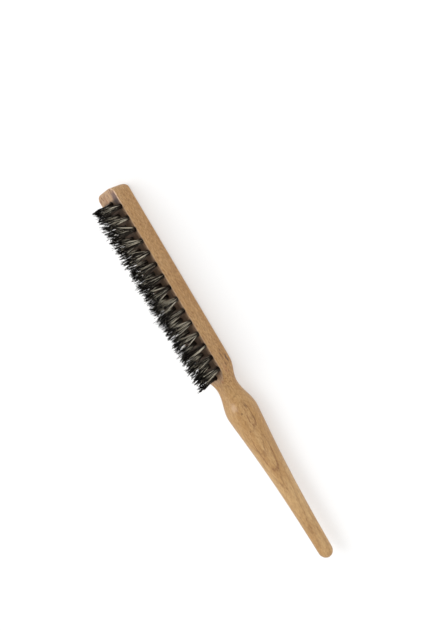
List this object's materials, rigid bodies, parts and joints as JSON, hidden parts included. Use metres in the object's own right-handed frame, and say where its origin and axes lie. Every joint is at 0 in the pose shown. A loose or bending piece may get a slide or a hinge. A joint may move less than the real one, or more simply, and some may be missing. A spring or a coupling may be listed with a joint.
{
  "type": "wooden tail brush",
  "caption": "Slim wooden brush: straight planed head with staggered rows of mixed stiff bristle tufts, and a turned handle with a neck, a bulb and a tapering round-ended tail.",
  "frame": {"origin": "under the middle of the brush, on the surface that its back and bulb lie on, with the bristles up", "axes": "+X from the tail to the head's tip, +Z the way the bristles point, +Y across the head"},
  "size_m": [0.23, 0.0178, 0.0292],
  "materials": {
    "beech": "satin",
    "mixed_bristle": "satin",
    "anchor_wire": "satin"
  },
  "bodies": {
    "root": {"wood_body": "beech", "tuft_right_01": "mixed_bristle", "tuft_right_02": "mixed_bristle", "tuft_right_03": "mixed_bristle", "tuft_right_04": "mixed_bristle", "tuft_right_05": "mixed_bristle", "tuft_right_06": "mixed_bristle", "tuft_right_07": "mixed_bristle", "tuft_right_08": "mixed_bristle", "tuft_right_09": "mixed_bristle", "tuft_right_10": "mixed_bristle", "tuft_right_11": "mixed_bristle", "tuft_right_12": "mixed_bristle", "tuft_right_13": "mixed_bristle", "tuft_right_14": "mixed_bristle", "tuft_right_15": "mixed_bristle", "tuft_middle_01": "mixed_bristle", "tuft_middle_02": "mixed_bristle", "tuft_middle_03": "mixed_bristle", "tuft_middle_04": "mixed_bristle", "tuft_middle_05": "mixed_bristle", "tuft_middle_06": "mixed_bristle", "tuft_middle_07": "mixed_bristle", "tuft_middle_08": "mixed_bristle", "tuft_middle_09": "mixed_bristle", "tuft_middle_10": "mixed_bristle", "tuft_middle_11": "mixed_bristle", "tuft_middle_12": "mixed_bristle", "tuft_middle_13": "mixed_bristle", "tuft_middle_14": "mixed_bristle", "tuft_middle_15": "mixed_bristle", "tuft_middle_16": "mixed_bristle", "tuft_left_01": "mixed_bristle", "tuft_left_02": "mixed_bristle", "tuft_left_03": "mixed_bristle", "tuft_left_04": "mixed_bristle", "tuft_left_05": "mixed_bristle", "tuft_left_06": "mixed_bristle", "tuft_left_07": "mixed_bristle", "tuft_left_08": "mixed_bristle", "tuft_left_09": "mixed_bristle", "tuft_left_10": "mixed_bristle", "tuft_left_11": "mixed_bristle", "tuft_left_12": "mixed_bristle", "tuft_left_13": "mixed_bristle", "tuft_left_14": "mixed_bristle", "tuft_left_15": "mixed_bristle"}
  },
  "joints": []
}
